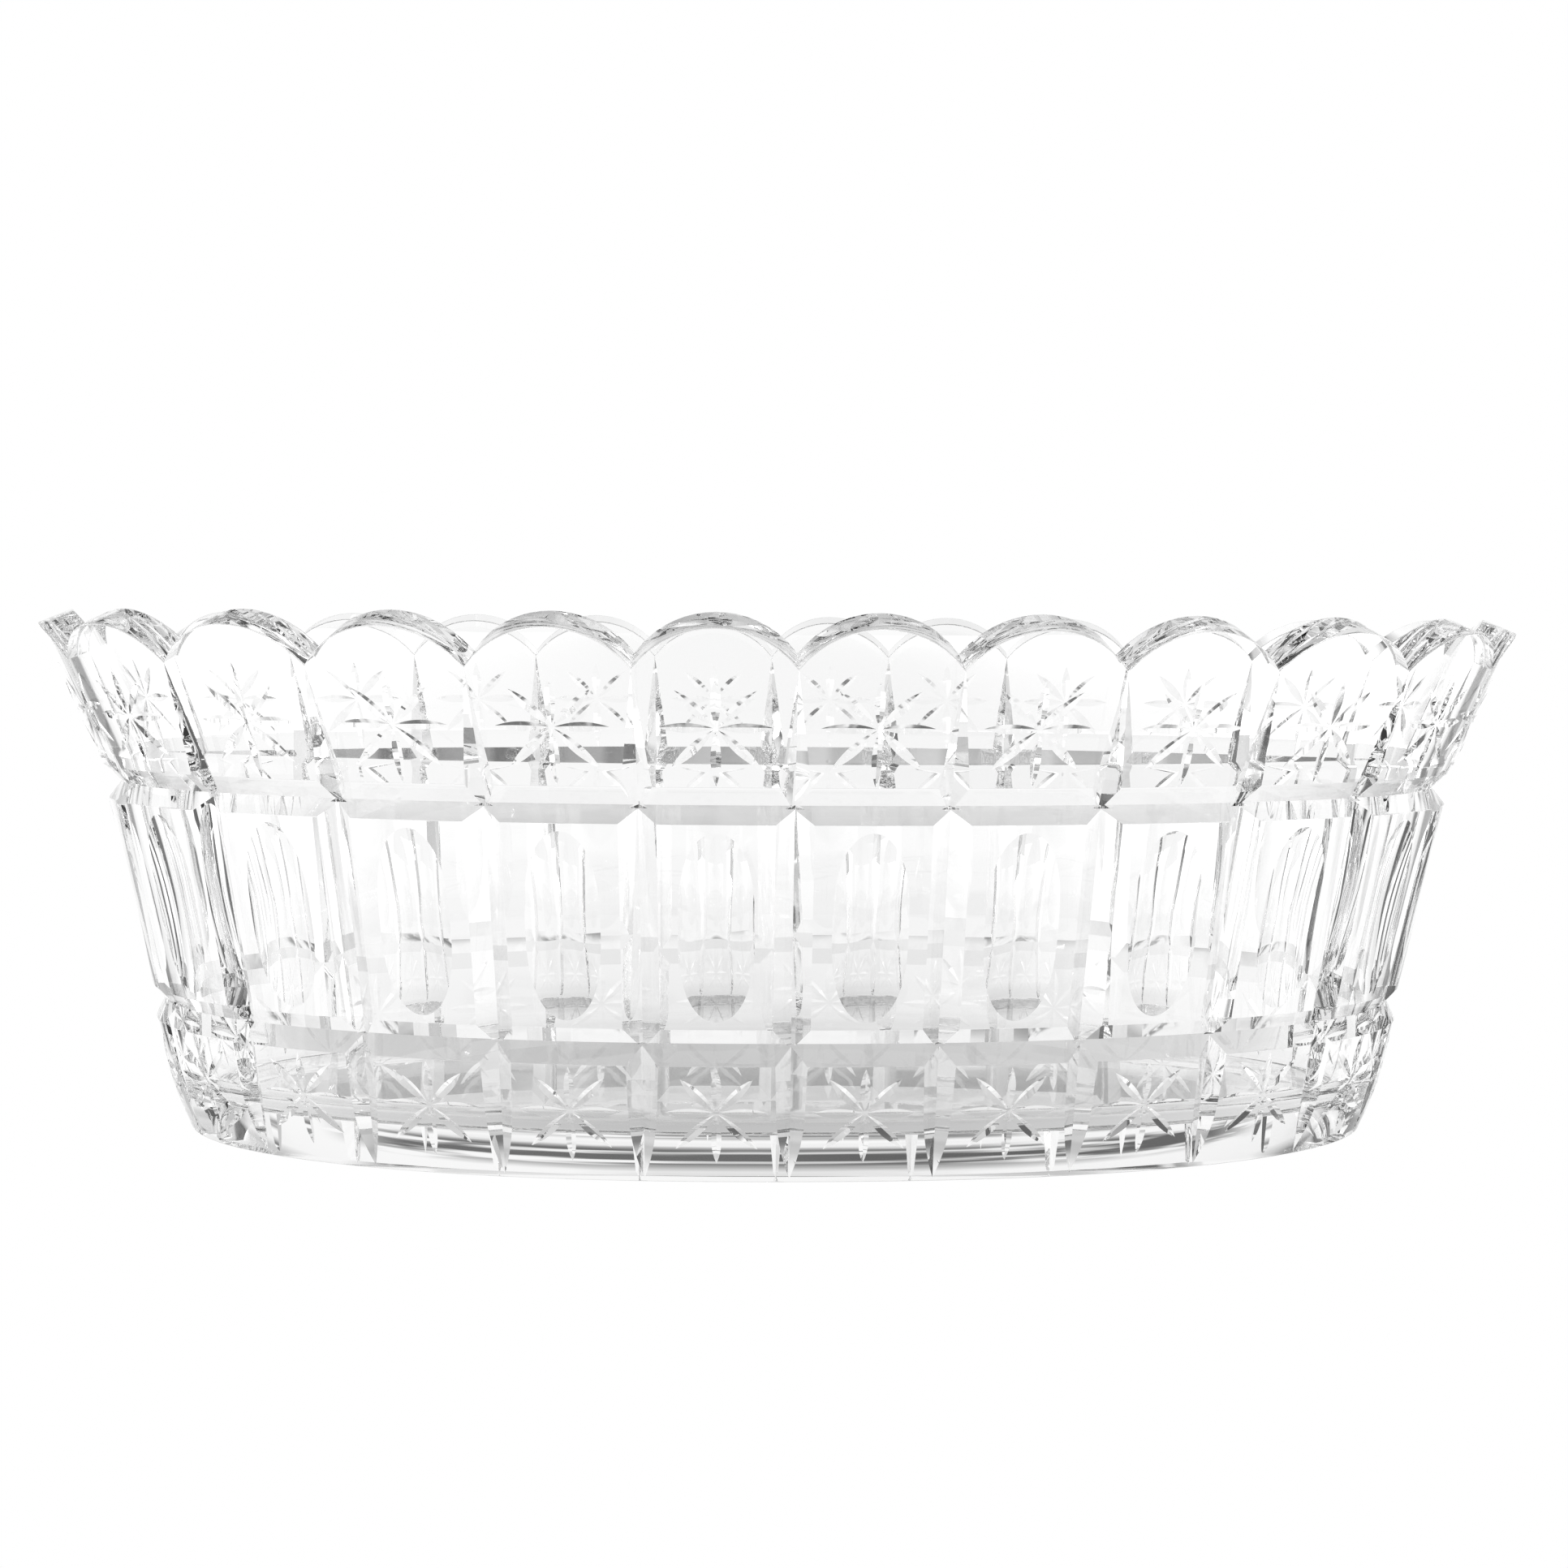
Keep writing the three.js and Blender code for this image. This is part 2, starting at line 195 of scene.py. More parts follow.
def makeBlank(b):
    places = wallSection(b)
    columns = b["panels"] * b["columnsPerPanel"]
    panel = np.arange(columns) / b["columnsPerPanel"]
    lean = math.radians(b["upperLean"])
    rimOut, rimUp, _ = b["outside"]["rim"]
    rimPanel = (plan.length + 2 * math.pi * rimOut) / b["panels"]
    radius = ((rimPanel / 2) ** 2 + b["scallopDrop"] ** 2) / (2 * b["scallopDrop"])
    scallop = lambda p: radius - np.sqrt(radius ** 2 - ((p - np.floor(p) - 0.5) * rimPanel) ** 2)
    level = lambda p: 0 * p
    rings, slopes = [], []                        # slopes: the way along each ring, before and after every column
    for (out, up), _, _ in places:
        drop = scallop if up > rimUp - b["scallopsFrom"] else level
        ringAt = lambda p: onWall(p, out - drop(p) * math.sin(lean), up - drop(p) * math.cos(lean))
        here = ringAt(panel)
        rings.append(here)
        slopes.append((here - ringAt(panel - b["slopeStep"]), ringAt(panel + b["slopeStep"]) - here))
    points = np.concatenate([*rings, [[0, 0, 0]], [[0, 0, b["floor"]]]])
    footMiddle, floorMiddle = len(points) - 2, len(points) - 1
    outward = plan.outward(panel / b["panels"])
    upward = lambda way: np.concatenate([outward * way[0], np.full((columns, 1), way[1])], -1)
    follow = np.roll(np.arange(columns), -1)
    faces, normals = [], []
    for row in range(len(places) - 1):
        low, high = row * columns, (row + 1) * columns
        nLow = [unit(np.cross(slope, upward(places[row][2]))) for slope in slopes[row]]
        nHigh = [unit(np.cross(slope, upward(places[row + 1][1]))) for slope in slopes[row + 1]]
        for i, j in enumerate(follow):
            faces.append((low + i, low + j, high + j, high + i))
            normals += [nLow[1][i], nLow[0][j], nHigh[0][j], nHigh[1][i]]
    last = (len(places) - 1) * columns
    for i, j in enumerate(follow):
        faces += [(footMiddle, j, i), (floorMiddle, last + i, last + j)]
        normals += [(0, 0, -1)] * 3 + [(0, 0, 1)] * 3
    mesh = bpy.data.meshes.new("blank")
    mesh.from_pydata((points * mm).tolist(), [], [tuple(int(v) for v in face) for face in faces])
    storeVectors(mesh, "wallNormal", "CORNER", normals)
    mesh.update()
    return mesh


blankMesh = makeBlank(blank)
print("blank lofted:", len(blankMesh.polygons), "faces")


# the wheel cuts, all made by one Geometry Nodes tree on the blank

cuts = {
    "mitreHalfAngle": 54,                         # degrees
    "upperMitre": 2.5, "middleMitre": 2.8, "lowerMitre": 2.4,   # depths, mm
    "mitreOver": 2,                               # mm that it runs on past the cusp and under the foot
    "barHeight": 5, "barRidge": 0.2,              # mm; what cuts a mitre, and how far its back stands up
    "thumbWidth": 15.5, "thumbLength": 39.5, "thumbDepth": 1.8, "thumbPower": 2.8,
    "thumbMesh": (56, 24), "thumbPast": 1.2, "thumbLid": 2,     # what cuts it runs on past its edge; the lid in mm
    "rayWidth": 2.1, "rayHalfAngle": 68, "rayHub": 0.05,        # hub as a share of a ray's reach
    "rayPoints": 11, "rayLift": 4, "rayDrop": 12,               # mm; how a ray is laid down on the wall
    "raySwell": 3.9, "rayTip": 0.02, "rayAbove": 0.5,           # thick half way, thin at the tips; shares of its depth
    "upperStar": {"height": 12.7, "across": 11, "up": 10.1, "down": 12.4},
    "lowerStar": {"height": 14.9, "across": 10.3, "up": 9.5, "down": 11.6},
    "evenBelow": 25,                              # degrees between faces of a cut that are shaded as one
}


def mitreEnds(b, c):                              # the edge of each mitre as a straight line in the wall's section
    lean = math.radians(b["upperLean"])
    at = {name: np.array(place[:2], float) for name, place in b["outside"].items()}
    cusp = at["rim"] - b["scallopDrop"] * np.array([math.sin(lean), math.cos(lean)])
    line = lambda p, q: (lambda z: (p[0] + (q[0] - p[0]) * (z - p[1]) / (q[1] - p[1]), 0, z))
    upper = line(cusp, at["upperFoot"] - (c["upperMitre"], 0))
    middle = line(at["middleTop"] - (c["middleMitre"], 0), at["middleFoot"] - (c["middleMitre"], 0))
    lower = line(at["lowerTop"] - (c["lowerMitre"], 0), (at["foot"] + at["bevel"]) / 2)
    upGroove, lowGroove = at["upperGroove"][1], at["lowerGroove"][1]
    return {
        "Upper": (upper(cusp[1] + c["mitreOver"]), upper(upGroove)),
        "Middle": (middle(upGroove), middle(lowGroove)),
        "Lower": (lower(lowGroove), lower(-c["mitreOver"])),
    }


def placesMesh(name, points, vectors):            # a helper: bare points with named vectors for the tree to read
    mesh = bpy.data.meshes.new(name)
    mesh.from_pydata((np.array(points) * mm).tolist(), [], [])
    for key, values in vectors.items():
        storeVectors(mesh, key, "POINT", values)
    helper = bpy.data.objects.new(name, mesh)
    bpy.context.scene.collection.objects.link(helper)
    return helper


def panelPlaces(name, low, high, height):         # the middle of every panel, a given way up one of the bands
    low, high = (np.array(blank["outside"][place][:2], float) for place in (low, high))
    here = low + (high - low) * height / np.linalg.norm(high - low)
    panel = np.arange(blank["panels"]) + 0.5
    foot, head, points = (onWall(panel, np.full(len(panel), out), np.full(len(panel), up))
                          for out, up in (low, high, here))
    flat = plan.outward(panel / blank["panels"])
    right = np.stack([-flat[:, 1], flat[:, 0], 0 * flat[:, 0]], -1)
    upward = unit(head - foot)
    return placesMesh(name, points, {"outward": np.cross(right, upward), "upward": upward})


def makeCutTree(c):
    tree = bpy.data.node_groups.new("wheel cuts", "GeometryNodeTree")
    face = tree.interface
    face.new_socket("Geometry", in_out="INPUT", socket_type="NodeSocketGeometry")
    face.new_socket("Geometry", in_out="OUTPUT", socket_type="NodeSocketGeometry")
    wanted = [("Mitre Places", "Object"), ("Thumbprint Places", "Object"), ("Upper Star Places", "Object"),
              ("Lower Star Places", "Object"), ("Polished Glass", "Material"), ("Cut Glass", "Material")]
    wanted += [(f"{band} Mitre {end}", "Vector") for band in ("Upper", "Middle", "Lower") for end in ("Top", "Foot")]
    wanted += [(name, "Float") for name in (
        "Mitre Half Angle", "Bar Height", "Thumbprint Width", "Thumbprint Length", "Thumbprint Depth",
        "Thumbprint Power", "Ray Width", "Ray Half Angle", "Ray Hub", "Upper Star Across", "Upper Star Up",
        "Upper Star Down", "Lower Star Across", "Lower Star Up", "Lower Star Down")]
    for name, kind in wanted:
        face.new_socket(name, in_out="INPUT", socket_type="NodeSocket" + kind)
    given = addNode(tree, "NodeGroupInput").outputs
    math1 = partial(calculate, tree)
    vector = lambda x, y, z: addNode(tree, "ShaderNodeCombineXYZ", {0: x, 1: y, 2: z}).outputs[0]
    vectors = lambda operation, *values: addNode(
        tree, "ShaderNodeVectorMath", dict(enumerate(values)), operation=operation).outputs[0]
    named = lambda name: addNode(
        tree, "GeometryNodeInputNamedAttribute", {"Name": name}, data_type="FLOAT_VECTOR").outputs["Attribute"]
    places = lambda name: addNode(tree, "GeometryNodeObjectInfo", {"Object": given[name]}).outputs["Geometry"]
    turned = lambda primary, first, secondary, second: addNode(
        tree, "FunctionNodeAxesToRotation", {"Primary Axis": first, "Secondary Axis": second},
        primary_axis=primary, secondary_axis=secondary).outputs[0]
    half = lambda name: math1("MULTIPLY", given[name], 0.5)

    def vBar(curve, normal, depth, spread, above, scale=None):   # a wheel's V, run along a curve
        loose = addNode(tree, "GeometryNodeSetCurveNormal", {"Curve": curve, "Normal": normal}, mode="FREE")
        wide = math1("MULTIPLY", math1("ADD", depth, above), spread)
        profile = addNode(tree, "GeometryNodeCurvePrimitiveQuadrilateral", {
            "Point 1": vector(math1("MULTIPLY", depth, -1.0), 0.0, 0.0),
            "Point 2": vector(above, math1("MULTIPLY", wide, -1.0), 0.0),
            "Point 3": vector(math1("ADD", above, c["barRidge"] * mm), 0.0, 0.0),
            "Point 4": vector(above, wide, 0.0)}, mode="POINTS")
        swept = {"Curve": loose.outputs[0], "Profile Curve": profile.outputs[0], "Fill Caps": True}
        if scale is not None:
            swept["Scale"] = scale
        return addNode(tree, "GeometryNodeCurveToMesh", swept).outputs[0]

    # mitres: three bars at each panel's edge, their V opening outwards
    mitreSpread = math1("TANGENT", given["Mitre Half Angle"])
    tangent = addNode(tree, "GeometryNodeInputTangent").outputs[0]
    barNormal = vectors("CROSS_PRODUCT", tangent, (0, 1, 0))
    mitres = []
    for band in ("Upper", "Middle", "Lower"):
        line = addNode(tree, "GeometryNodeCurvePrimitiveLine", {
            "Start": given[f"{band} Mitre Top"], "End": given[f"{band} Mitre Foot"]}).outputs[0]
        bar = vBar(line, barNormal, 0.0, mitreSpread, given["Bar Height"])
        mitres.append(addNode(tree, "GeometryNodeInstanceOnPoints", {
            "Points": places("Mitre Places"), "Instance": bar,
            "Rotation": turned("X", named("outward"), "Z", (0, 0, 1))}).outputs[0])

    # thumbprints: a ball pressed into a shallow dish with blunt ends, its lid clear of the glass
    segments, rings = c["thumbMesh"]
    ball = addNode(tree, "GeometryNodeMeshUVSphere", {"Segments": segments, "Rings": rings, "Radius": 1.0}).outputs[0]
    spot = addNode(tree, "ShaderNodeSeparateXYZ", {0: addNode(tree, "GeometryNodeInputPosition").outputs[0]}).outputs
    girth = math1("MAXIMUM", math1("SQRT", math1("ADD", math1("MULTIPLY", spot[0], spot[0]),
                                                 math1("MULTIPLY", spot[1], spot[1]))), 1e-5)
    level = math1("DIVIDE", math1("ARCCOSINE", math1("ABSOLUTE", spot[2])), math.pi / 2)
    share = math1("MULTIPLY", level, c["thumbPast"])
    sideways = math1("DIVIDE", spot[0], girth)
    lengthways = math1("DIVIDE", spot[1], girth)
    blunt = math1("MULTIPLY", math1("SIGN", lengthways), math1(
        "POWER", math1("ABSOLUTE", lengthways), math1("DIVIDE", 2.0, given["Thumbprint Power"])))
    dish = math1("MULTIPLY", given["Thumbprint Depth"], math1("SUBTRACT", math1("MULTIPLY", share, share), 1.0))
    lid = math1("ADD", math1("MULTIPLY", given["Thumbprint Depth"], c["thumbPast"] ** 2 - 1),
                math1("MULTIPLY", math1("SUBTRACT", c["thumbPast"], share), c["thumbLid"] * mm))
    high = addNode(tree, "GeometryNodeSwitch", {
        "Switch": addNode(tree, "FunctionNodeCompare", {0: spot[2], 1: 0.0}, operation="GREATER_THAN").outputs[0],
        "False": dish, "True": lid}, input_type="FLOAT").outputs[0]
    pressed = addNode(tree, "GeometryNodeSetPosition", {"Geometry": ball, "Position": vector(
        math1("MULTIPLY", math1("MULTIPLY", share, half("Thumbprint Width")), sideways),
        math1("MULTIPLY", math1("MULTIPLY", share, half("Thumbprint Length")), blunt), high)}).outputs[0]
    thumbprints = addNode(tree, "GeometryNodeInstanceOnPoints", {
        "Points": places("Thumbprint Places"), "Instance": pressed,
        "Rotation": turned("Z", named("outward"), "Y", named("upward"))}).outputs[0]

    # stars: eight rays laid on the wall, each a V that is deepest half way
    rays = []
    for band in ("Upper", "Lower"):
        index = addNode(tree, "GeometryNodeInputIndex").outputs[0]
        across, up, down = (given[f"{band} Star {way}"] for way in ("Across", "Up", "Down"))
        reaches = (across, across, up, across, across, down, down, down)
        reach = addNode(tree, "GeometryNodeIndexSwitch", {"Index": index}, data_type="FLOAT")
        while len(reach.index_switch_items) < len(reaches):
            reach.index_switch_items.new()
        for i, value in enumerate(reaches):
            tree.links.new(value, reach.inputs[i + 1])
        line = addNode(tree, "GeometryNodeCurvePrimitiveLine", {
            "Start": vector(given["Ray Hub"], 0.0, 0.0), "End": (1, 0, 0)}).outputs[0]
        star = addNode(tree, "GeometryNodeInstanceOnPoints", {
            "Points": addNode(tree, "GeometryNodePoints", {"Count": len(reaches)}).outputs[0], "Instance": line,
            "Rotation": addNode(tree, "FunctionNodeEulerToRotation", {
                0: vector(0.0, 0.0, math1("MULTIPLY", index, 2 * math.pi / len(reaches)))}).outputs[0],
            "Scale": reach.outputs[0]}).outputs[0]
        rays.append(addNode(tree, "GeometryNodeInstanceOnPoints", {
            "Points": places(f"{band} Star Places"), "Instance": star,
            "Rotation": turned("Z", named("outward"), "Y", named("upward"))}).outputs[0])
    laid = addNode(tree, "GeometryNodeRealizeInstances", {
        0: addNode(tree, "GeometryNodeJoinGeometry", {0: rays}).outputs[0]}).outputs[0]
    fine = addNode(tree, "GeometryNodeResampleCurve", {"Curve": laid, "Count": c["rayPoints"]}, mode="COUNT").outputs[0]
    here = addNode(tree, "GeometryNodeInputPosition").outputs[0]
    lifted = vectors("MULTIPLY_ADD", named("outward"), (c["rayLift"] * mm,) * 3, here)
    hit = addNode(tree, "GeometryNodeRaycast", {
        "Target Geometry": given["Geometry"], "Source Position": lifted,
        "Ray Direction": vectors("MULTIPLY", named("outward"), (-1, -1, -1)), "Ray Length": c["rayDrop"] * mm})
    settled = addNode(tree, "GeometryNodeSetPosition", {
        "Geometry": fine, "Position": hit.outputs["Hit Position"]}).outputs[0]
    along = addNode(tree, "GeometryNodeSplineParameter").outputs["Factor"]
    middling = math1("MULTIPLY", along, math1("SUBTRACT", 1.0, along))
    swell = math1("ADD", math1("MULTIPLY", middling, c["raySwell"]), c["rayTip"])
    raySpread = math1("TANGENT", given["Ray Half Angle"])
    rayDepth = math1("DIVIDE", half("Ray Width"), raySpread)
    rayMesh = vBar(settled, named("outward"), rayDepth, raySpread, math1("MULTIPLY", rayDepth, c["rayAbove"]), swell)

    withGlass = lambda part, kind, chosen=True: addNode(tree, "GeometryNodeSetMaterial", {
        "Geometry": part, "Selection": chosen, "Material": given[kind]}).outputs[0]
    cutters = [withGlass(part, "Cut Glass") for part in (*mitres, thumbprints, rayMesh)]
    cut = addNode(tree, "GeometryNodeMeshBoolean", {"Mesh 1": given["Geometry"], "Mesh 2": cutters},
                  operation="DIFFERENCE", solver="MANIFOLD").outputs["Mesh"]
    real = addNode(tree, "GeometryNodeRealizeInstances", {0: cut}).outputs[0]
    blankPart = addNode(tree, "FunctionNodeBooleanMath", {
        0: addNode(tree, "GeometryNodeMaterialSelection", {"Material": given["Cut Glass"]}).outputs[0]},
        operation="NOT").outputs[0]
    addNode(tree, "NodeGroupOutput", {0: withGlass(real, "Polished Glass", blankPart)})
    return tree


def socketId(tree, name):
    return next(s.identifier for s in tree.interface.items_tree if s.name == name and s.in_out == "INPUT")


# lead crystal, blown or pressed thick: clear and colourless, and it bends light more than window glass

crystal = {
    "tint": "#ffffff", "ior": 1.545,              # 24% lead crystal
    # its skin swims slightly and is never quite flat; grain and height in mm, and the noise that spreads the roughness
    "skin": {"name": "lead crystal fire polished", "grain": (14, 14, 14), "detail": 1.0, "height": 0.012,
             "spread": (0.35, 0.7), "roughness": (0.0, 0.01)},
    # a stone leaves faint lines along each cut under the polish, drawn coarse here
    "facets": {"name": "lead crystal wheel cut", "grain": (0.35, 0.35, 9), "detail": 2.0, "height": 0.0005,
               "spread": (0.3, 0.7), "roughness": (0.004, 0.022)},
}


def glass(name, grain, detail, height, spread, roughness):
    material = bpy.data.materials.new(name)
    material.use_nodes = True
    tree = material.node_tree
    tree.nodes.clear()
    place = addNode(tree, "ShaderNodeMapping", {
        "Vector": addNode(tree, "ShaderNodeTexCoord").outputs["Object"],
        "Scale": tuple(1 / (size * mm) for size in grain)}).outputs[0]
    noise = addNode(tree, "ShaderNodeTexNoise", {"Vector": place, "Scale": 1.0, "Detail": detail}).outputs[0]
    rough = addNode(tree, "ShaderNodeMapRange", {
        "Value": noise, "From Min": spread[0], "From Max": spread[1],
        "To Min": roughness[0], "To Max": roughness[1]}).outputs[0]
    bump = addNode(tree, "ShaderNodeBump", {"Height": noise, "Strength": 1.0, "Distance": height * mm}).outputs[0]
    shader = addNode(tree, "ShaderNodeBsdfPrincipled", {
        "Base Color": srgb(crystal["tint"]), "Metallic": 0.0, "IOR": crystal["ior"], "Transmission Weight": 1.0,
        "Roughness": rough, "Normal": bump})
    addNode(tree, "ShaderNodeOutputMaterial", {"Surface": shader.outputs[0]})
    return material


def cutBowl(b, c):
    tree = makeCutTree(c)
    bowl = bpy.data.objects.new("cut_glass_bowl", blankMesh)
    bpy.context.scene.collection.objects.link(bowl)
    panel = np.arange(b["panels"], dtype=float)
    flat = plan.outward(panel / b["panels"])
    outward = np.stack([flat[:, 0], flat[:, 1], 0 * panel], -1)
    halfWay = math.dist(b["outside"]["middleFoot"][:2], b["outside"]["middleTop"][:2]) / 2
    helpers = {
        "Mitre Places": placesMesh("mitre places", onWall(panel, 0 * panel, 0 * panel), {"outward": outward}),
        "Thumbprint Places": panelPlaces("thumbprint places", "middleFoot", "middleTop", halfWay),
        "Upper Star Places": panelPlaces("upper star places", "upperFoot", "rim", c["upperStar"]["height"]),
        "Lower Star Places": panelPlaces("lower star places", "bevel", "lowerTop", c["lowerStar"]["height"]),
    }
    values = {
        "Mitre Half Angle": math.radians(c["mitreHalfAngle"]), "Bar Height": c["barHeight"] * mm,
        "Thumbprint Width": c["thumbWidth"] * mm, "Thumbprint Length": c["thumbLength"] * mm,
        "Thumbprint Depth": c["thumbDepth"] * mm, "Thumbprint Power": c["thumbPower"],
        "Ray Width": c["rayWidth"] * mm, "Ray Half Angle": math.radians(c["rayHalfAngle"]), "Ray Hub": c["rayHub"],
        "Polished Glass": glass(**crystal["skin"]), "Cut Glass": glass(**crystal["facets"]), **helpers,
    }
    for band in ("Upper", "Lower"):
        star = c[f"{band.lower()}Star"]
        values |= {f"{band} Star {way.title()}": star[way] * mm for way in ("across", "up", "down")}
    for band, (top, foot) in mitreEnds(b, c).items():
        values |= {f"{band} Mitre Top": [v * mm for v in top], f"{band} Mitre Foot": [v * mm for v in foot]}
    modifier = bowl.modifiers.new("wheel cuts", "NODES")
    modifier.node_group = tree
    for name, value in values.items():
        modifier[socketId(tree, name)] = value
    evaluated = bowl.evaluated_get(bpy.context.evaluated_depsgraph_get())
    mesh = bpy.data.meshes.new_from_object(evaluated)
    bowl.modifiers.remove(modifier)
    bowl.data = mesh
    for helper in helpers.values():
        bpy.data.objects.remove(helper)
    return bowl


def readAll(data, key, kind, width):
    values = np.zeros(len(data) * width, kind)
    data.foreach_get(key, values)
    return values.reshape(-1, width)


def setNormals(mesh, evenBelow):                  # the wall's own normals on the blank, evened ones on the cuts
    wanted = readAll(mesh.attributes["wallNormal"].data, "vector", np.float32, 3).astype(float)
    vertex = readAll(mesh.loops, "vertex_index", np.int32, 1)[:, 0]
    corners = readAll(mesh.polygons, "loop_total", np.int32, 1)[:, 0]
    face = np.repeat(np.arange(len(corners)), corners)
    faceNormal = readAll(mesh.polygons, "normal", np.float32, 3).astype(float)
    area = readAll(mesh.polygons, "area", np.float32, 1)[:, 0].astype(float)
    length = np.linalg.norm(wanted, axis=1)
    onCut = length < 0.5                          # only the blank's own faces carry a normal
    result = np.where(onCut[:, None], faceNormal[face], wanted / np.maximum(length, tiny)[:, None])
    order = np.argsort(vertex, kind="stable")
    nearby = math.cos(math.radians(evenBelow))
    for group in np.split(order, np.flatnonzero(np.diff(vertex[order])) + 1):
        mine = group[onCut[group]]
        if len(mine) > 1:
            n, a = faceNormal[face[mine]], area[face[mine]]
            total = ((n @ n.T > nearby) * a) @ n
            result[mine] = total / np.maximum(np.linalg.norm(total, axis=1, keepdims=True), tiny)
    mesh.shade_smooth()
    mesh.normals_split_custom_set(result.tolist())
    for name in ("wallNormal", "outward", "upward"):
        mesh.attributes.remove(mesh.attributes[name])


bowl = cutBowl(blank, cuts)
setNormals(bowl.data, cuts["evenBelow"])
print("wheel cuts made:", len(bowl.data.polygons), "faces")


# floor and surround, as glass on a white table in a room meets them; the floor is a glow with painted shade under and
# round the foot, and the camera itself meets plain white

studio = {
    "floorSize": 60.0, "floorDrop": 0.0002,       # m
    "foot": (133.9, 60.9),                        # mm, half the length and width of the foot
    # painted shadow round the foot: the glowing table's brightness by how far out it is, as a share of the foot's own
    # oval
    "table": [(1, 0.72), (1.64, 0.83), (3, 0.86), (4.3, 0.91), (9, 0.94), (10, 0.98)],
    # painted shade under the foot, from its front edge (0) to its back edge (1), and how much the painted shade
    # lightens towards the ends
    "under": [(0, 0.50), (0.13, 0.54), (0.3, 0.60), (0.5, 0.55), (0.6, 0.60), (0.7, 0.74), (0.78, 0.57), (0.87, 0.32),
              (1, 0.20)],
    # where the painted shade under the foot gives way to the painted shadow round it, as a share of the foot's oval
    "ends": 0.25, "footEdge": (0.97, 1.04),
    # dark things to either side, by the angle (degrees) from straight back
    "bars": [(0, 1.0), (26, 1.0), (34, 0.70), (40, 0.50), (42, 0.05), (49, 0.05), (51, 0.55), (58, 0.80), (64, 1.0),
             (70, 1.0), (77, 0.55), (79, 0.06), (93, 0.06), (96, 0.60), (110, 0.80), (125, 1.0)],
    "barsFrom": 150, "barsEdge": (1.3, 1.5),      # how far to the side they start, mm, and how far out from the foot
    "barsTop": (0.30, 0.36),                      # the sine of the elevation that they reach up to
    "barsFade": 0.65,                             # how far they fade where nothing is mirrored inside the glass
    # the surround's brightness by the sine of the elevation; high up it is darker on the left than on the right
    "surround": [(0, 0.98), (0.14, 0.98), (0.34, 0.96), (0.41, 0.34), (0.52, 0.26), (0.75, 0.26), (1, 0.40)],
    "highFrom": (0.38, 0.44), "highTurn": (-0.08, 0.06), "highLevels": (0.3, 2.1),
    # a dim strip low down on the wall ahead, uneven along it and fine across it
    "strip": [(0.139, 1.0), (0.147, 0.25), (0.155, 0.25), (0.163, 1.0), (0.176, 0.9), (0.19, 0.10), (0.228, 0.10),
              (0.262, 1.0)],
    "stripWidth": (0.19, 0.34), "stripScale": (9, 9, 60), "stripMix": (0.44, 0.64),
    "shown": 1.0,                                 # what the camera meets
    "bounces": 28, "glossyBounces": 16, "diffuseBounces": 4,
}


def smoothRise(tree, value, low, high):
    return addNode(tree, "ShaderNodeMapRange", {"Value": value, "From Min": low, "From Max": high},
                   interpolation_type="SMOOTHSTEP").outputs[0]


def blend(tree, share, a, b):
    return addNode(tree, "ShaderNodeMix", {"Factor": share, "A": a, "B": b}).outputs[0]


def ramp(tree, value, stops, reach=1.0):          # brightness by place along a list of stops
    node = addNode(tree, "ShaderNodeValToRGB", {"Fac": calculate(tree, "DIVIDE", value, reach)})
    elements = node.color_ramp.elements
    while len(elements) < len(stops):
        elements.new(0.5)
    for element, (place, level) in zip(elements, stops):
        element.position, element.color = place / reach, (level, level, level, 1)
    return node.outputs[0]


def barsAt(tree, s, aside, ahead):
    stops = [(math.radians(place), level) for place, level in s["bars"]]
    bars = ramp(tree, calculate(tree, "ARCTAN2", aside, ahead), stops, math.pi)
    mirrored = addNode(tree, "ShaderNodeLightPath").outputs["Glossy Depth"]
    straight = calculate(tree, "LESS_THAN", mirrored, 0.5)
    return blend(tree, calculate(tree, "MULTIPLY", straight, s["barsFade"]), bars, 1.0)


def finishLight(tree, kind, output, s, seenByGlass):   # plain white for the camera, the room for the glass
    direct = addNode(tree, "ShaderNodeLightPath").outputs["Is Camera Ray"]
    light = addNode(tree, kind, {"Color": srgb("#ffffff"), "Strength": blend(tree, direct, seenByGlass, s["shown"])})
    addNode(tree, output, {"Surface": light.outputs[0]})


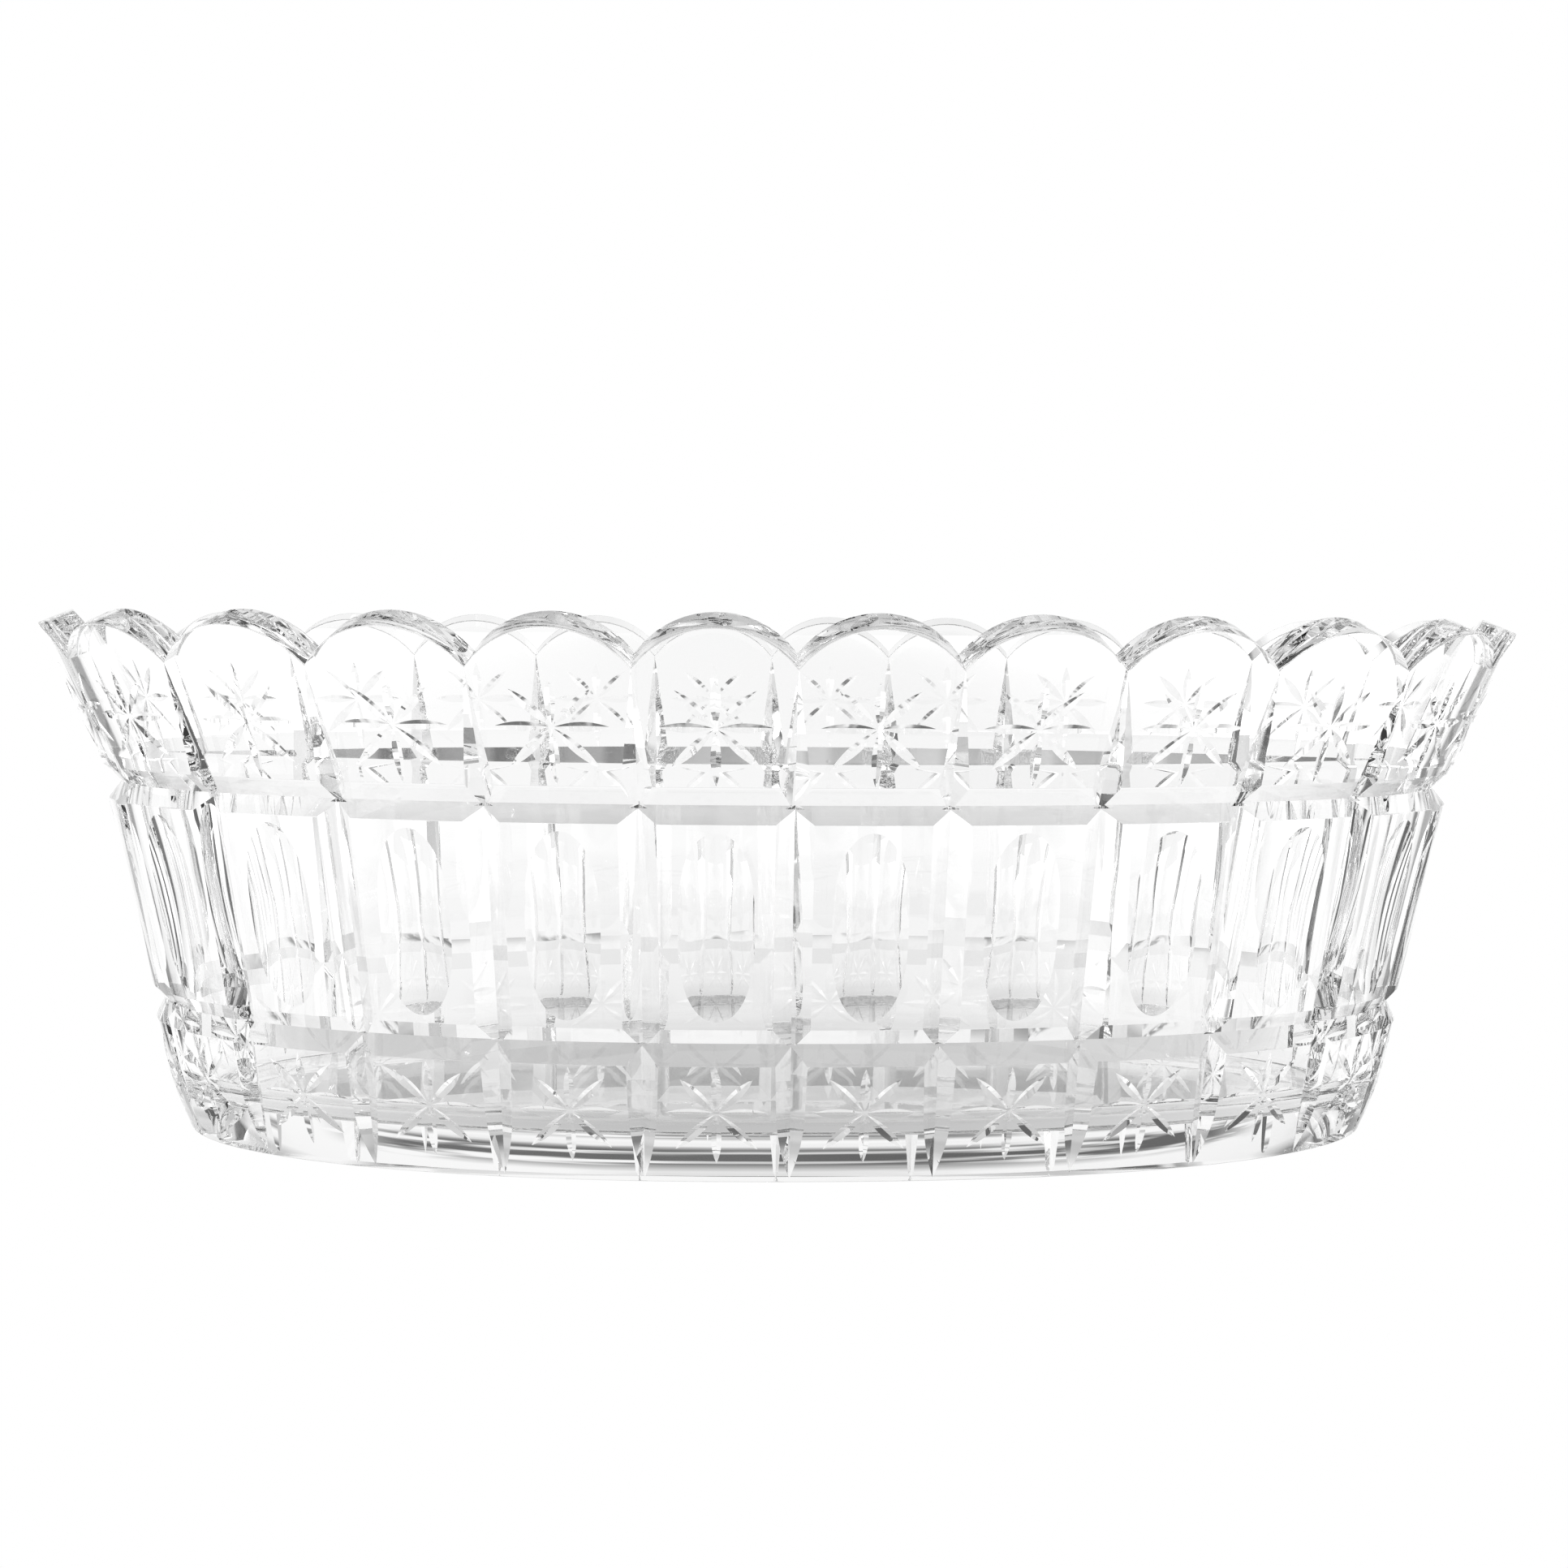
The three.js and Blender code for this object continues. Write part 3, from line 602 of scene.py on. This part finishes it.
def makeFloor(s):
    half = s["floorSize"] / 2
    mesh = bpy.data.meshes.new("floor")
    mesh.from_pydata([(-half, -half, 0), (half, -half, 0), (half, half, 0), (-half, half, 0)], [], [(0, 1, 2, 3)])
    floor = bpy.data.objects.new("floor", mesh)
    floor.location.z = -s["floorDrop"]
    bpy.context.scene.collection.objects.link(floor)
    # the floor is a glow, not a lit surface: its strength carries the painted shade and shadow
    material = bpy.data.materials.new("lit white table")
    material.use_nodes = True
    tree = material.node_tree
    tree.nodes.clear()
    math1, rise, mix = (partial(short, tree) for short in (calculate, smoothRise, blend))
    place = addNode(tree, "ShaderNodeSeparateXYZ", {0: addNode(tree, "ShaderNodeTexCoord").outputs["Object"]}).outputs
    x, y = (math1("DIVIDE", place[i], s["foot"][i] * mm) for i in (0, 1))
    reach = math1("SQRT", math1("ADD", math1("MULTIPLY", x, x), math1("MULTIPLY", y, y)))
    # painted shade under the foot, darkest towards its back edge
    under = ramp(tree, math1("MULTIPLY_ADD", y, 0.5, 0.5), s["under"])
    # painted shadow round the foot, fading out across the table
    around = ramp(tree, reach, s["table"], s["table"][-1][0])
    # the painted shade lifts towards the ends of the foot
    ends = math1("MULTIPLY", math1("MULTIPLY", x, x), math1("DIVIDE", s["ends"], math1("MAXIMUM", reach, 1.0)))
    # the whole painted shade of the table: under the foot, round it, and lifted at the ends
    table = math1("ADD", mix(rise(reach, *s["footEdge"]), under, around), ends)
    # painted shade: the glowing table is made darker to either side as well, out past the foot
    aside = math1("MAXIMUM", math1("SUBTRACT", math1("ABSOLUTE", place[0]), s["barsFrom"] * mm), 0.0)
    bars = mix(rise(reach, *s["barsEdge"]), 1.0, barsAt(tree, s, aside, place[1]))
    finishLight(tree, "ShaderNodeEmission", "ShaderNodeOutputMaterial", s, math1("MULTIPLY", table, bars))
    mesh.materials.append(material)


def makeSurround(s):
    world = bpy.data.worlds.new("surround")
    bpy.context.scene.world = world
    world.use_nodes = True
    tree = world.node_tree
    tree.nodes.clear()
    math1, rise, mix = (partial(short, tree) for short in (calculate, smoothRise, blend))
    around = addNode(tree, "ShaderNodeTexCoord").outputs["Generated"]
    x, y, z = addNode(tree, "ShaderNodeSeparateXYZ", {0: around}).outputs
    spread = addNode(tree, "ShaderNodeMapping", {"Vector": around, "Scale": s["stripScale"]}).outputs[0]
    noise = addNode(tree, "ShaderNodeTexNoise", {"Vector": spread, "Scale": 1.0, "Detail": 2.0}).outputs[0]
    clear = math1("MAXIMUM", rise(math1("ABSOLUTE", x), *s["stripWidth"]), rise(noise, *s["stripMix"]))
    strip = mix(clear, ramp(tree, z, s["strip"]), 1.0)
    high = mix(rise(z, *s["highFrom"]), 1.0, mix(rise(x, *s["highTurn"]), *s["highLevels"]))
    bars = mix(rise(z, *s["barsTop"]), barsAt(tree, s, math1("ABSOLUTE", x), y), 1.0)
    seenByGlass = ramp(tree, z, s["surround"])
    for part in (strip, high, bars):
        seenByGlass = math1("MULTIPLY", seenByGlass, part)
    finishLight(tree, "ShaderNodeBackground", "ShaderNodeOutputWorld", s, seenByGlass)


makeFloor(studio)
makeSurround(studio)
scene = bpy.context.scene
scene.view_settings.view_transform = "Standard"
scene.cycles.max_bounces = scene.cycles.transmission_bounces = studio["bounces"]
scene.cycles.glossy_bounces, scene.cycles.diffuse_bounces = studio["glossyBounces"], studio["diffuseBounces"]
scene.cycles.caustics_reflective = scene.cycles.caustics_refractive = True
print("stage and light set")

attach(bowl, "root")
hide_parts("glass_bowl")
